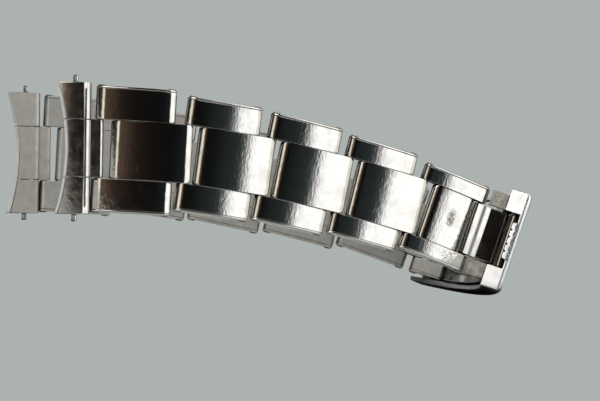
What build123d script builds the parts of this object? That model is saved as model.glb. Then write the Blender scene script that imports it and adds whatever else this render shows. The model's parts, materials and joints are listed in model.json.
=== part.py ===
import os
from math import acos, atan2, cos, degrees, hypot, radians, sin

from build123d import *

os.makedirs("parts", exist_ok=True)

# Sizes are in millimetres and angles in degrees
pitch = 13.35
outer_length = 12.4
pin_setback = 0.85
row_widths = [19.2, 17.65, 16.95, 15.8, 14.25]
centre_width = 8.4
side_gap = 0.3
end_radius = 0.85
face_radius = 41.0
sheet = 0.25
cap_wall = 0.6
rim_radius = 0.3

# Pins and the worn slots they run in
pin_radius = 0.35
pin_clearance = 0.08
slot_reach = 0.8
head_radius = 0.58
head_height = 0.2
head_chamfer = 0.1

# Centre links
centre_start = 1.65
centre_reach = 1.01
web_wall = 0.45
seam_width = 0.4
short_centre_end = 9.45
middle_pin_share = 0.5

# End pieces at the watch
end_width = 19.9
end_left = -2.8
end_right = 2.4
end_sagitta = 1.5
end_half_thickness = 1.3
end_crown = 0.25
end_seam = 0.12
end_tube_reach = 0.72
row_offset = 3.62

# Spring bars
bar_radius = 0.75
bar_bore = 0.6
bar_lip = 0.3
bar_end_setback = 0.5
tip_radius = 0.4
tip_clearance = 0.03
neck_relief = 0.16
tip_reach = 1.1
collar_length = 1.2
collar_clearance = 0.03
spring_wall = 0.15
tip_travel = 1.2
clasp_bar_radius = 0.6
clasp_bar_bore = 0.48
clasp_tip_radius = 0.36
clasp_tip_reach = 0.95

# Clasp cover
cover_radius = 46.0
cover_depth = 3.4
cover_sheet = 0.9
cover_half_length = 18.5
cover_width = 16.5
cover_wall = 0.8
cover_end_wall = 0.9
cover_rounding = 0.8
notch_width = 9.2
ear_width = 2.5
ear_depth = 6.3
ear_root = 0.8
ear_sheet = 0.6
ear_overlap = 0.1
tab_width = 6.0
tab_depth = 1.3
tab_reach = 0.7
tab_inset = 0.3
adjust_pitch = 2.2
adjust_count = 3
overcut = 1.0

# Clasp blades
blade_sheet = 0.8
roof_gap = 0.3
blade_gap = 0.9
long_blade_radius = cover_radius - cover_sheet - roof_gap - blade_sheet / 2
short_blade_radius = long_blade_radius - blade_sheet - blade_gap
long_blade_width = 8.6
short_blade_width = 14.2
catch_width = 8.4
clasp_pin_radius = 0.5
clasp_pin_clearance = 0.05
cover_hinge_drop = 0.2
cover_hinge_radius = long_blade_radius - cover_hinge_drop
cover_hinge_setback = 2.1
cover_knuckle = 0.85
fold_hinge_radius = (long_blade_radius + short_blade_radius) / 2
fold_hinge_angle = 11.6
fold_knuckle = 0.95
fold_tongue_width = 4.6
fold_gap = 0.2
catch_knuckle = 0.9
catch_bore = 0.45
rib_radius = 0.55
rib_position = 2.6
window_width = 4.4
window_margin = 3.2
adjust_depth = 2.0
adjust_radius = cover_radius - adjust_depth
short_link_length = 4.5

# Stance of the closed bracelet and the set of each row
lug_half_span = 19.3
stance_tilt = -8.89
stand_forward = -37.06
stand_height = 10.97
end_turn = -4.0
end_droop = 0.0
row_turns = [-4.0, 6.0, 7.0, 7.5, 8.0]
row_droops = [2.5, 7.3, 11.2, 13.8, 19.1]
catch_offset = 10.4

pin_span = outer_length - pin_setback - pin_setback
outer_inner_face = centre_width / 2 + side_gap
near_side = 1
far_side = -1
half_turn = 180


def placed(position, droop, turn, side):
    # Turns one row about the pin direction and lets it droop
    spin = Rot(0, droop, 0) * Rot(0, 0, side * turn)
    flip = Rot(half_turn, 0, 0) if side == far_side else Rot(0, 0, 0)
    return Location(position) * spin * flip


def moved(location, distance):
    # Finds the point a distance further along a row
    return (location * Pos(distance, 0, 0)).position


# Rows from the watch to the clasp, on both sides of the wrist
places = {}
for side in (near_side, far_side):
    lug = (0, -side * lug_half_span, 0)
    end_place = placed(lug, end_droop, end_turn, side)
    point = moved(end_place, row_offset)
    rows = []
    for turn, droop in zip(row_turns, row_droops):
        row = placed(point, droop, turn, side)
        rows.append(row)
        point = moved(row, pitch)
    places[side] = (end_place, rows, point)

# Clasp frame, with its origin on the outside of the cover
last_near = places[near_side][1][-1]
catch_point = moved(last_near, pin_span)
clasp_turn = Rot(0, row_droops[-1], 0)
catch_out = (Location((0, 0, 0)) * clasp_turn * Pos(catch_offset, 0, 0)).position
clasp_origin = (catch_point.X + catch_out.X, 0, catch_point.Z + catch_out.Z)
stance = Pos(stand_forward, 0, stand_height) * Rot(0, stance_tilt, 0)
clasp_plane = Plane(stance * Location(clasp_origin) * clasp_turn)


def clasp_point(radius, angle):
    # Polar point about the centre of the clasp's curve
    return (radius * cos(radians(angle)) - cover_radius, radius * sin(radians(angle)))


def link_outline(start, end, radius, face):
    # Side view of a folded link with rolled ends and a domed face
    Line((start + radius, radius), (end - radius, radius))
    ThreePointArc((end - radius, radius), (end, 0), (end - radius, -radius))
    if face:
        RadiusArc((end - radius, -radius), (start + radius, -radius), face)
    else:
        Line((end - radius, -radius), (start + radius, -radius))
    ThreePointArc((start + radius, -radius), (start, 0), (start + radius, radius))


def band_outline(inner, outer, low, high):
    # Side view of a curved plate of the clasp
    middle = (low + high) / 2
    ThreePointArc(clasp_point(inner, low), clasp_point(inner, middle), clasp_point(inner, high))
    Line(clasp_point(inner, high), clasp_point(outer, high))
    ThreePointArc(clasp_point(outer, high), clasp_point(outer, middle), clasp_point(outer, low))
    Line(clasp_point(outer, low), clasp_point(inner, low))


def make_outers(name, plane, length, width, holes):
    # Two hollow outer links with closed outer edges
    outer_width = width / 2 - outer_inner_face
    with BuildPart() as outers:
        for low, up in ((outer_inner_face, 1), (-outer_inner_face, -1)):
            with BuildSketch(plane.offset(low)):
                with BuildLine():
                    link_outline(-pin_setback, length - pin_setback, end_radius, face_radius)
                make_face()
            extrude(amount=up * outer_width)
            across = Axis(plane.origin, plane.z_dir * up)
            rim = outers.faces().sort_by(across)[-1].edges()
            fillet(rim, radius=rim_radius)
            with BuildSketch(plane.offset(low)):
                with BuildLine():
                    start = sheet - pin_setback
                    end = length - pin_setback - sheet
                    link_outline(start, end, end_radius - sheet, face_radius)
                make_face()
            extrude(amount=up * (outer_width - cap_wall), mode=Mode.SUBTRACT)
        with BuildSketch(plane):
            for spot, radius in holes:
                with Locations((spot, 0)):
                    Circle(radius)
        extrude(amount=width, both=True, mode=Mode.SUBTRACT)
    outers.part.label = name
    export_step(outers.part, f"parts/{name}.step")


def make_centre(name, plane, end, web_at, web_hole, slot_at):
    # Hollow centre link, folded from one sheet
    with BuildPart() as centre:
        with BuildSketch(plane):
            with BuildLine():
                link_outline(centre_start, end, end_radius, face_radius)
            make_face()
        extrude(amount=centre_width / 2, both=True)
        with BuildSketch(plane):
            with BuildLine():
                start = centre_start + sheet
                cavity_end = web_at - web_hole - web_wall
                link_outline(start, cavity_end, end_radius - sheet, face_radius)
            make_face()
            with Locations((web_at, 0)):
                Circle(web_hole)
            seam_at = (centre_start + web_at) / 2
            with Locations((seam_at, end_radius)):
                Rectangle(seam_width, end_radius)
            if slot_at:
                with Locations((slot_at, 0)):
                    SlotOverall(2 * slot_reach, 2 * pin_radius + 2 * pin_clearance)
        extrude(amount=centre_width, both=True, mode=Mode.SUBTRACT)
    centre.part.label = name
    export_step(centre.part, f"parts/{name}.step")


def make_pins(name, plane, width, spots, flush_spots):
    # Riveted cross pins
    with BuildPart() as pins:
        with BuildSketch(plane):
            with Locations(*[(spot, 0) for spot in spots + flush_spots]):
                Circle(pin_radius)
        extrude(amount=width / 2, both=True)
        for up in (1, -1):
            with BuildSketch(plane.offset(up * width / 2)):
                with Locations(*[(spot, 0) for spot in spots]):
                    Circle(head_radius)
            extrude(amount=up * head_height)
            across = Axis(plane.origin, plane.z_dir * up)
            tops = pins.faces().sort_by(across)[-len(spots):]
            chamfer([edge for top in tops for edge in top.edges()], length=head_chamfer)
    pins.part.label = name
    export_step(pins.part, f"parts/{name}.step")


def make_bar(name, plane, width, sizes, words):
    # Spring bar in four pieces: tube, spring and two tips
    radius, bore, tip, reach = sizes
    half = width / 2 - bar_end_setback
    lip = tip + tip_clearance
    with BuildPart() as tube:
        with BuildSketch(plane):
            Circle(radius)
        extrude(amount=half, both=True)
        with BuildSketch(plane):
            Circle(bore)
        extrude(amount=half - bar_lip, both=True, mode=Mode.SUBTRACT)
        with BuildSketch(plane):
            Circle(lip)
        extrude(amount=half, both=True, mode=Mode.SUBTRACT)
    tube.part.label = f"{name}_tube"
    export_step(tube.part, f"parts/{name}_tube.step")
    spring_half = half - bar_lip - collar_length
    with BuildPart() as spring:
        with BuildSketch(plane):
            Circle(bore)
            Circle(bore - spring_wall, mode=Mode.SUBTRACT)
        extrude(amount=spring_half - tip_travel, both=True)
    spring.part.label = f"{name}_spring"
    export_step(spring.part, f"parts/{name}_spring.step")
    for word, up in zip(words, (1, -1)):
        with BuildPart() as end_tip:
            with BuildSketch(plane.offset(up * spring_half)):
                Circle(bore - collar_clearance)
            extrude(amount=up * collar_length)
            with BuildSketch(plane.offset(up * (spring_half + collar_length))):
                Circle(tip - neck_relief)
            extrude(amount=up * (width / 2 - spring_half - collar_length))
            with BuildSketch(plane.offset(up * width / 2)):
                Circle(tip)
            extrude(amount=up * reach)
            across = Axis(plane.origin, plane.z_dir * up)
            chamfer(end_tip.faces().sort_by(across)[-1].edges(), length=head_chamfer)
        end_tip.part.label = f"{name}_{word}_tip"
        export_step(end_tip.part, f"parts/{name}_{word}_tip.step")


def make_end_piece(name, plane):
    # End piece curved to the watch case, with the tube for the first row
    with BuildPart() as end_piece:
        with BuildSketch(plane):
            with BuildLine():
                thick = end_half_thickness
                front = -thick - end_crown
                middle = (end_left + end_right) / 2
                Line((end_left, thick), (end_right, thick))
                Line((end_right, thick), (end_right, -thick))
                ThreePointArc((end_right, -thick), (middle, front), (end_left, -thick))
                Line((end_left, -thick), (end_left, thick))
            make_face()
        extrude(amount=end_width / 2, both=True)
        side_view = Plane(plane.origin, x_dir=plane.z_dir, z_dir=plane.y_dir)
        with BuildSketch(side_view.offset(-cover_depth)):
            with BuildLine():
                half = end_width / 2
                low = end_left - overcut
                Line((-half - overcut, low), (half + overcut, low))
                Line((half + overcut, low), (half + overcut, end_left))
                Line((half + overcut, end_left), (half, end_left))
                ThreePointArc((half, end_left), (0, end_left + end_sagitta), (-half, end_left))
                Line((-half, end_left), (-half - overcut, end_left))
                Line((-half - overcut, end_left), (-half - overcut, low))
            make_face()
        extrude(amount=2 * cover_depth, mode=Mode.SUBTRACT)
        rounded = end_piece.edges().filter_by(Axis(plane.origin, plane.z_dir))
        fillet(rounded.sort_by(Axis(plane.origin, plane.x_dir))[-2:], radius=rim_radius)
        with BuildSketch(plane):
            with BuildLine():
                tube_start = end_right - overcut
                tube_end = row_offset + end_tube_reach
                link_outline(tube_start, tube_end, end_tube_reach, 0)
            make_face()
        extrude(amount=centre_width / 2, both=True)
        with BuildSketch(plane):
            with Locations((row_offset, 0)):
                SlotOverall(slot_width, 2 * pin_radius + 2 * pin_clearance)
            Circle(bar_radius)
        extrude(amount=end_width, both=True, mode=Mode.SUBTRACT)
        for up in (1, -1):
            seam_low = up * (centre_width / 2 + side_gap / 2) - end_seam / 2
            with BuildSketch(plane.offset(seam_low)):
                with Locations((middle, front)):
                    Rectangle(2 * outer_length, 2 * end_crown + 2 * end_seam)
            extrude(amount=end_seam, mode=Mode.SUBTRACT)
    end_piece.part.label = name
    export_step(end_piece.part, f"parts/{name}.step")


slot_width = 2 * (end_tube_reach - sheet / 2)
short_length = short_link_length + 2 * pin_setback

# Rows, end pieces and the watch spring bars of both halves
for word, side in (("near", near_side), ("far", far_side)):
    end_place, rows, last_point = places[side]
    end_plane = Plane(stance * end_place)
    make_end_piece(f"{word}_end_piece", end_plane)
    ends = ("upper", "lower") if side == near_side else ("lower", "upper")
    bar_sizes = (bar_radius, bar_bore, tip_radius, tip_reach)
    make_bar(f"{word}_lug_bar", end_plane, end_width, bar_sizes, ends)
    for index, row in enumerate(rows):
        plane = Plane(stance * row)
        width = row_widths[index]
        number = index + 1
        shortened = side == near_side and number == len(rows)
        centre_end = short_centre_end if shortened else pitch + centre_reach
        web_at = middle_pin_share * (centre_start + centre_end) if shortened else pin_span
        slot_at = 0 if shortened else pitch
        make_centre(f"{word}_centre_{number}", plane, centre_end, web_at, pin_radius, slot_at)
        flush = [web_at] if shortened else []
        holes = [(spot, pin_radius) for spot in [0, pin_span] + flush]
        make_outers(f"{word}_outers_{number}", plane, outer_length, width, holes)
        make_pins(f"{word}_pins_{number}", plane, width, [0, pin_span], flush)

# Short end link and spring bar that hold the far half in the cover
far_point = clasp_plane.to_local_coords((stance * Location(places[far_side][2])).position)
far_radius = hypot(far_point.X + cover_radius, far_point.Y)
far_angle = degrees(atan2(far_point.Y, far_point.X + cover_radius))
chord = far_radius**2 + adjust_radius**2 - short_link_length**2
bar_angle = far_angle - degrees(acos(chord / far_radius / adjust_radius / 2))
bar_spot = clasp_point(adjust_radius, bar_angle)
link_along = Vector(*bar_spot) - Vector(far_point.X, far_point.Y)
link_origin = clasp_plane.from_local_coords(Vector(far_point.X, far_point.Y, 0))
link_dir = clasp_plane.x_dir * link_along.X + clasp_plane.y_dir * link_along.Y
link_plane = Plane(link_origin, x_dir=link_dir, z_dir=-clasp_plane.z_dir)
last_width = row_widths[-1]
short_holes = [(0, pin_radius), (short_link_length, clasp_bar_radius)]
make_outers("far_outers_6", link_plane, short_length, last_width, short_holes)
short_end = short_length - pin_setback
make_centre("far_centre_6", link_plane, short_end, short_link_length, clasp_bar_radius, 0)
make_pins("far_pins_6", link_plane, last_width, [0], [])
bar_origin = clasp_plane.from_local_coords(Vector(*bar_spot, 0))
bar_plane = Plane(bar_origin, x_dir=link_dir, z_dir=-clasp_plane.z_dir)
bar_sizes = (clasp_bar_radius, clasp_bar_bore, clasp_tip_radius, clasp_tip_reach)
make_bar("clasp_bar", bar_plane, last_width, bar_sizes, ("lower", "upper"))


def arc_angle(length):
    # Angle of a length along the clasp
    return degrees(length / cover_radius)


# Clasp cover with its side walls, notched end wall and plain thumb tab
half_angle = arc_angle(cover_half_length)
wall_angle = arc_angle(cover_end_wall)
over_angle = arc_angle(overcut)
cavity_roof = cover_radius - cover_sheet
cavity_open = cover_radius - cover_depth - overcut
hinge_angle = arc_angle(cover_hinge_setback) - half_angle
cover_hinge = clasp_point(cover_hinge_radius, hinge_angle)
with BuildPart() as clasp_cover:
    with BuildSketch(clasp_plane):
        with BuildLine():
            band_outline(cover_radius - cover_depth, cover_radius, -half_angle, half_angle)
        make_face()
    extrude(amount=cover_width / 2, both=True)
    outer_face = clasp_cover.faces().filter_by(GeomType.CYLINDER).sort_by(SortBy.AREA)[-1]
    fillet(outer_face.edges(), radius=cover_rounding)
    with BuildSketch(clasp_plane):
        with BuildLine():
            band_outline(cavity_open, cavity_roof, wall_angle - half_angle, half_angle + over_angle)
        make_face()
    extrude(amount=cover_width / 2 - cover_wall, both=True, mode=Mode.SUBTRACT)
    with BuildSketch(clasp_plane):
        with BuildLine():
            notch_end = wall_angle - half_angle + over_angle
            band_outline(cavity_open, cavity_roof, -half_angle - over_angle, notch_end)
        make_face()
    extrude(amount=notch_width / 2, both=True, mode=Mode.SUBTRACT)
    with BuildSketch(clasp_plane):
        with Locations(cover_hinge):
            Circle(clasp_pin_radius)
        for step in range(adjust_count):
            angle = bar_angle + arc_angle(adjust_pitch) * (step - adjust_count // 2)
            with Locations(clasp_point(adjust_radius, angle)):
                Circle(clasp_tip_radius + tip_clearance)
    extrude(amount=cover_width, both=True, mode=Mode.SUBTRACT)
    with BuildSketch(clasp_plane):
        with BuildLine():
            tab_low = cover_radius - tab_inset - tab_depth
            tab_start = -half_angle - arc_angle(tab_reach)
            band_outline(tab_low, cover_radius - tab_inset, tab_start, wall_angle - half_angle)
        make_face()
    extrude(amount=tab_width / 2, both=True)
    for up in (1, -1):
        with BuildSketch(clasp_plane.offset(up * notch_width / 2)):
            with BuildLine():
                ear_start = wall_angle - half_angle - arc_angle(ear_overlap)
                ear_end = wall_angle - half_angle + arc_angle(ear_sheet)
                ear_top = cover_radius - cover_depth + ear_root
                band_outline(cover_radius - ear_depth, ear_top, ear_start, ear_end)
            make_face()
        extrude(amount=up * ear_width)
clasp_cover.part.label = "clasp_cover"
export_step(clasp_cover.part, "parts/clasp_cover.step")

with BuildPart() as cover_pin:
    with BuildSketch(clasp_plane):
        with Locations(cover_hinge):
            Circle(clasp_pin_radius)
    extrude(amount=cover_width / 2, both=True)
cover_pin.part.label = "cover_pin"
export_step(cover_pin.part, "parts/cover_pin.step")

# Long blade, hinged to the cover at the notched end
fold_hinge = clasp_point(fold_hinge_radius, fold_hinge_angle)
half_sheet = blade_sheet / 2
running_hole = clasp_pin_radius + clasp_pin_clearance
long_low = long_blade_radius - half_sheet
long_high = long_blade_radius + half_sheet
with BuildPart() as long_blade:
    with BuildSketch(clasp_plane):
        with BuildLine():
            band_outline(long_low, long_high, hinge_angle, fold_hinge_angle)
        make_face()
        with Locations(cover_hinge):
            Circle(cover_knuckle)
    extrude(amount=long_blade_width / 2, both=True)
    with BuildSketch(clasp_plane):
        with Locations(fold_hinge):
            Circle(fold_knuckle + fold_gap)
    extrude(amount=long_blade_width, both=True, mode=Mode.SUBTRACT)
    with BuildSketch(clasp_plane):
        with BuildLine():
            tongue_root = fold_hinge_angle - arc_angle(fold_tongue_width)
            band_outline(long_low, long_high, tongue_root, fold_hinge_angle)
        make_face()
        with Locations(fold_hinge):
            Circle(fold_knuckle)
    extrude(amount=fold_tongue_width / 2, both=True)
    with BuildSketch(clasp_plane):
        with Locations(cover_hinge, fold_hinge):
            Circle(running_hole)
    extrude(amount=long_blade_width, both=True, mode=Mode.SUBTRACT)
long_blade.part.label = "long_blade"
export_step(long_blade.part, "parts/long_blade.step")

with BuildPart() as fold_pin:
    with BuildSketch(clasp_plane):
        with Locations(fold_hinge):
            Circle(clasp_pin_radius)
    extrude(amount=long_blade_width / 2, both=True)
fold_pin.part.label = "fold_pin"
export_step(fold_pin.part, "parts/fold_pin.step")

# Catch blade, folded under the long blade, with the catch plate at its end
catch_spot = clasp_plane.to_local_coords((stance * Location(catch_point)).position)
corner = Vector(*clasp_point(short_blade_radius, hinge_angle))
catch_hinge = Vector(catch_spot.X, catch_spot.Y)
plate_dir = (corner - catch_hinge).normalized()
short_low = short_blade_radius - half_sheet
short_high = short_blade_radius + half_sheet
wide_angle = hinge_angle + arc_angle(window_margin)
tongue_slot = fold_tongue_width / 2 + fold_gap
with BuildPart() as catch_blade:
    with BuildSketch(clasp_plane):
        with BuildLine():
            band_outline(short_low, short_high, hinge_angle, fold_hinge_angle)
        make_face()
        with Locations(catch_hinge):
            Circle(catch_knuckle)
        SlotCenterPoint((corner + catch_hinge) / 2, corner, blade_sheet)
        with Locations(catch_hinge + plate_dir * rib_position):
            Circle(rib_radius)
    extrude(amount=catch_width / 2, both=True)
    with BuildSketch(clasp_plane):
        with BuildLine():
            band_outline(short_low, short_high, wide_angle, fold_hinge_angle)
        make_face()
    extrude(amount=short_blade_width / 2, both=True)
    with BuildSketch(clasp_plane):
        with Locations(fold_hinge):
            Circle(fold_knuckle + fold_gap)
    extrude(amount=tongue_slot, both=True, mode=Mode.SUBTRACT)
    for up in (1, -1):
        with BuildSketch(clasp_plane.offset(up * tongue_slot)):
            with Locations(fold_hinge):
                Circle(fold_knuckle)
        extrude(amount=up * (long_blade_width / 2 - tongue_slot))
    with BuildSketch(clasp_plane):
        with Locations(fold_hinge):
            Circle(clasp_pin_radius)
        with Locations(catch_hinge):
            Circle(catch_bore)
        with BuildLine():
            window_end = fold_hinge_angle - arc_angle(window_margin)
            band_outline(short_low, short_high, wide_angle, window_end)
        make_face()
    extrude(amount=window_width / 2, both=True, mode=Mode.SUBTRACT)
    with BuildSketch(clasp_plane):
        with Locations(fold_hinge):
            Circle(clasp_pin_radius)
        with Locations(catch_hinge):
            Circle(catch_bore)
    extrude(amount=short_blade_width, both=True, mode=Mode.SUBTRACT)
catch_blade.part.label = "catch_blade"
export_step(catch_blade.part, "parts/catch_blade.step")
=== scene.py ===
# %% [markdown]
# # A riveted steel link bracelet
#
# This lesson dresses a bracelet of hollow folded steel links that was already drawn in CAD.
# The CAD model is loaded as a fixed frame. Each piece of it gets a finely rounded mesh in the
# same place, because polished steel shows every flat facet as a step in what it mirrors.

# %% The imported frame
import json
from math import asin, atan2, cos, degrees, pi, radians, sin, sqrt, tan

import bmesh
import bpy
from mathutils import Matrix, Vector


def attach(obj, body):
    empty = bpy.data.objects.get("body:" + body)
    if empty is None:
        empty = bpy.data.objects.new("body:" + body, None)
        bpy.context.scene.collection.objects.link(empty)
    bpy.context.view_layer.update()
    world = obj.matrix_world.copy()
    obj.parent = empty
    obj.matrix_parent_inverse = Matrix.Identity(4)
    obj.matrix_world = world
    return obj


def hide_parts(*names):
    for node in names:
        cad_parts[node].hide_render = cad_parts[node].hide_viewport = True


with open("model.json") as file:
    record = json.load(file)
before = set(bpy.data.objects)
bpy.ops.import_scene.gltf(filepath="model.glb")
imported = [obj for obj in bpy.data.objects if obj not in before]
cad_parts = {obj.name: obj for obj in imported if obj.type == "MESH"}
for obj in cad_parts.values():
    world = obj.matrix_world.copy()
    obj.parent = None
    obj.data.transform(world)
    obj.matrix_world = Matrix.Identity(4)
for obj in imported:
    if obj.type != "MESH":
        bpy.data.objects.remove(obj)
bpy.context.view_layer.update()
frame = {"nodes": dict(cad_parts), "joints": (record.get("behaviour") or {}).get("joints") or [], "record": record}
joints = {joint["name"]: joint for joint in frame["joints"]}

# %% [markdown]
# ## Where the rows are
#
# Blender works in metres and the sizes of a link are a few millimetres, so the sizes below are
# in millimetres and are turned to metres when a mesh is made. Each row of links turns on its
# hinge, and the record says where every hinge is. A row's own frame therefore needs no typing
# in: it starts at its left pin, x runs to the next pin and z runs along the pin. Drawing in
# that frame also keeps the grain of the steel in line with the link.

# %% Frames of the rows, the end pieces and the clasp
MM = 0.001


def frame_of(origin, along, axis):
    z = Vector(axis).normalized()
    x = (along - z * along.dot(z)).normalized()
    place = Matrix((x, z.cross(x), z)).transposed().to_4x4()
    return Matrix.Translation(origin) @ place


def hinge_at(name):
    return Vector(joints[name]["pos_m"])


row_frames, end_frames = {}, {}
for half in ("near", "far"):
    hinges = [f"{half}_end_hinge"] + [f"{half}_row_{number}_hinge" for number in range(1, 6)]
    for number in range(1, 6):
        start, stop = hinge_at(hinges[number - 1]), hinge_at(hinges[number])
        axis = -Vector(joints[hinges[number - 1]]["axis"])
        row_frames[half, number] = frame_of(start, stop - start, axis)
    ends = {m["name"]: Vector(m["pos_m"]) for m in frame["record"]["mounts"]}
    upper, lower = ends[f"{half}_upper_lug_pin"], ends[f"{half}_lower_lug_pin"]
    bar = (upper + lower) / 2
    axis = (upper - lower) if half == "near" else (lower - upper)
    end_frames[half] = frame_of(bar, hinge_at(f"{half}_end_hinge") - bar, axis)
link_start = hinge_at("far_row_5_hinge")
clasp_axis = Vector(joints["cover_hinge"]["axis"])
row_frames["far", 6] = frame_of(link_start, hinge_at("far_link_6_hinge") - link_start, -clasp_axis)
print("first row starts at", [round(c, 4) for c in row_frames["near", 1].translation])

# %% [markdown]
# The clasp is bent to a circle, so its own frame is the one that the CAD used: the origin on
# the outside of the cover, and every point given by its radius and its angle about the centre
# of that circle. Two hinges whose place is known in both frames are enough to find it.

# %% The clasp's frame
cover_radius, cover_half_length = 46.0, 18.5
cover_hinge_radius, cover_hinge_setback = 44.2, 2.1
fold_hinge_radius, fold_hinge_angle = 43.55, 11.6


def clasp_point(radius, angle):
    return Vector((radius * cos(radians(angle)) - cover_radius, radius * sin(radians(angle))))


def arc_angle(length):
    # The angle, in degrees, of a length along the outside of the cover
    return degrees(length / cover_radius)


cover_half_angle = arc_angle(cover_half_length)
cover_hinge_angle = arc_angle(cover_hinge_setback) - cover_half_angle
local_a = clasp_point(cover_hinge_radius, cover_hinge_angle)
local_b = clasp_point(fold_hinge_radius, fold_hinge_angle)
turn = atan2(local_b.y - local_a.y, local_b.x - local_a.x)
chord = hinge_at("fold_hinge") - hinge_at("cover_hinge")
x_axis = Matrix.Rotation(-turn, 3, clasp_axis) @ chord.normalized()
clasp_frame = frame_of(Vector(), x_axis, clasp_axis)
offset = clasp_frame.to_3x3() @ (local_a.to_3d() * MM)
clasp_frame = Matrix.Translation(hinge_at("cover_hinge") - offset) @ clasp_frame
print("clasp centre at", [round(c, 4) for c in clasp_frame.translation])

# %% [markdown]
# ## The studio
#
# Polished steel has hardly any colour of its own: what the eye reads as steel is the room in
# it. A photographer therefore builds a small room of panels. Here a pale diffuser stands to the
# right, a black flag in the middle and a warm card to the left, in a ring all round the
# bracelet. They light and are mirrored, and the camera doesn't see them.

# %% Colours and a helper for nodes


def tone(hex_code):
    # Turns an sRGB hex value to the linear colour that shaders use
    parts = [int(hex_code[i:i + 2], 16) / 255 for i in (1, 3, 5)]
    return [c / 12.92 if c <= 0.04045 else ((c + 0.055) / 1.055) ** 2.4 for c in parts] + [1.0]


def add(tree, kind, links=None, **settings):
    # Adds one node, with its settings, values and links
    node = tree.nodes.new(kind)
    for key, value in settings.items():
        setattr(node, key, value)
    for socket, source in (links or {}).items():
        if isinstance(source, bpy.types.NodeSocket):
            tree.links.new(source, node.inputs[socket])
        else:
            node.inputs[socket].default_value = source
    return node


def new_material(name):
    material = bpy.data.materials.new(name)
    material.use_nodes = True
    material.node_tree.nodes.clear()
    return material, material.node_tree


print("steel grey in linear light:", [round(c, 3) for c in tone("#C6C4C0")])

# %% [markdown]
# Behind everything is a plain grey backdrop. The camera and the polish see its own grey, and all
# other light comes from a paler room, so the backdrop can be matched without changing the light.

# %% Backdrop of plain grey
backdrop_grey, room_grey, room_strength = tone("#ACB2B0"), tone("#C9CCCB"), 0.75


def calc(tree, operation, *values):
    return add(tree, "ShaderNodeMath", dict(enumerate(values)), operation=operation).outputs[0]


world = bpy.data.worlds.new("studio")
bpy.context.scene.world = world
world.use_nodes = True
tree = world.node_tree
tree.nodes.clear()
rays = add(tree, "ShaderNodeLightPath")
seen = rays.outputs["Is Camera Ray"]
for kind in ("Is Glossy Ray", "Is Transmission Ray"):
    seen = calc(tree, "MAXIMUM", seen, rays.outputs[kind])
room_light = add(tree, "ShaderNodeBackground", {"Color": room_grey, "Strength": room_strength})
backdrop = add(tree, "ShaderNodeBackground", {"Color": backdrop_grey, "Strength": 1.0})
both = add(tree, "ShaderNodeMixShader", {0: seen, 1: room_light.outputs[0], 2: backdrop.outputs[0]})
add(tree, "ShaderNodeOutputWorld", {"Surface": both.outputs[0]})
print("backdrop grey in linear light:", [round(c, 3) for c in backdrop_grey])

# %% [markdown]
# A panel is a strip of cloth swept round the bracelet. Its brightness changes along its length,
# so a bent face mirrors a soft change and not one flat tone. Each panel carries on as a foot of
# the same cloth on the floor, because low faces would otherwise mirror the pale floor.

# %% Cloth and its light
panel_radius, panel_height, panel_strength, cloth_steps = 1.3, 5.0, 1.95, 24
foot_start, foot_height = 0.25, 0.0002


def in_scene(name, data):
    thing = bpy.data.objects.new(name, data)
    bpy.context.scene.collection.objects.link(thing)
    return thing


def cloth(name, low, high, inner, outer):
    # A strip of cloth swept round z; inner and outer are (radius, height) and the angles in
    # degrees run from -Y towards +X
    mesh = bmesh.new()
    uv = mesh.loops.layers.uv.new("UVMap")
    sweep = [radians(low + (high - low) * i / cloth_steps) for i in range(cloth_steps + 1)]
    feet, tops = [[mesh.verts.new((radius * sin(a), -radius * cos(a), height)) for a in sweep]
                  for radius, height in (inner, outer)]
    for i in range(cloth_steps):
        face = mesh.faces.new((feet[i], feet[i + 1], tops[i + 1], tops[i]))
        for loop, (u, v) in zip(face.loops, ((i, 0), (i + 1, 0), (i + 1, 1), (i, 1))):
            loop[uv].uv = (u / cloth_steps, v)
    data = bpy.data.meshes.new(name)
    mesh.to_mesh(data)
    piece = in_scene(name, data)
    piece.visible_camera = False
    return piece


def only_mirrored(piece):
    piece.visible_diffuse, piece.visible_shadow = False, False


def panel_light(name, stops):
    # Light that changes along the panel; stops are (share of its length, colour)
    material, tree = new_material(name)
    spot = add(tree, "ShaderNodeSeparateXYZ", {0: add(tree, "ShaderNodeUVMap").outputs[0]})
    ramp = add(tree, "ShaderNodeValToRGB", {"Fac": spot.outputs["X"]})
    ramp.color_ramp.interpolation = "EASE"
    elements = ramp.color_ramp.elements
    for index, (share, colour) in enumerate(stops):
        step = elements[index] if index < 2 else elements.new(share)
        step.position, step.color = share, tone(colour)
    glow = add(tree, "ShaderNodeEmission", {"Color": ramp.outputs[0], "Strength": panel_strength})
    add(tree, "ShaderNodeOutputMaterial", {"Surface": glow.outputs[0]})
    return material


print("panels stand", panel_radius, "m away and are", panel_height, "m high")

# %% [markdown]
# The stops below are written at their angle round the bracelet, because that is what decides
# which face mirrors them. The steep change on the diffuser, from black to white within a few
# degrees, is the edge that runs over every link.

# %% Panels round the bracelet


def degree_stops(low, high, stops):
    # Stops at an angle in degrees, turned to shares of a panel from low to high. A ramp starts
    # with two stops, so the first and the last come first
    shares = [((angle - low) / (high - low), colour) for angle, colour in stops]
    return [shares[0], shares[-1]] + shares[1:-1]


def panel(name, cloth_name, low, high, stops):
    # The foot lights nothing, so that the floor stays plain
    material = panel_light(cloth_name, degree_stops(low, high, stops))
    wall = cloth(name, low, high, (panel_radius, 0.0), (panel_radius, panel_height))
    wall.data.materials.append(material)
    foot = cloth(name + "_foot", low, high, (foot_start, foot_height), (panel_radius, foot_height))
    foot.data.materials.append(material)
    only_mirrored(foot)


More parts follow.
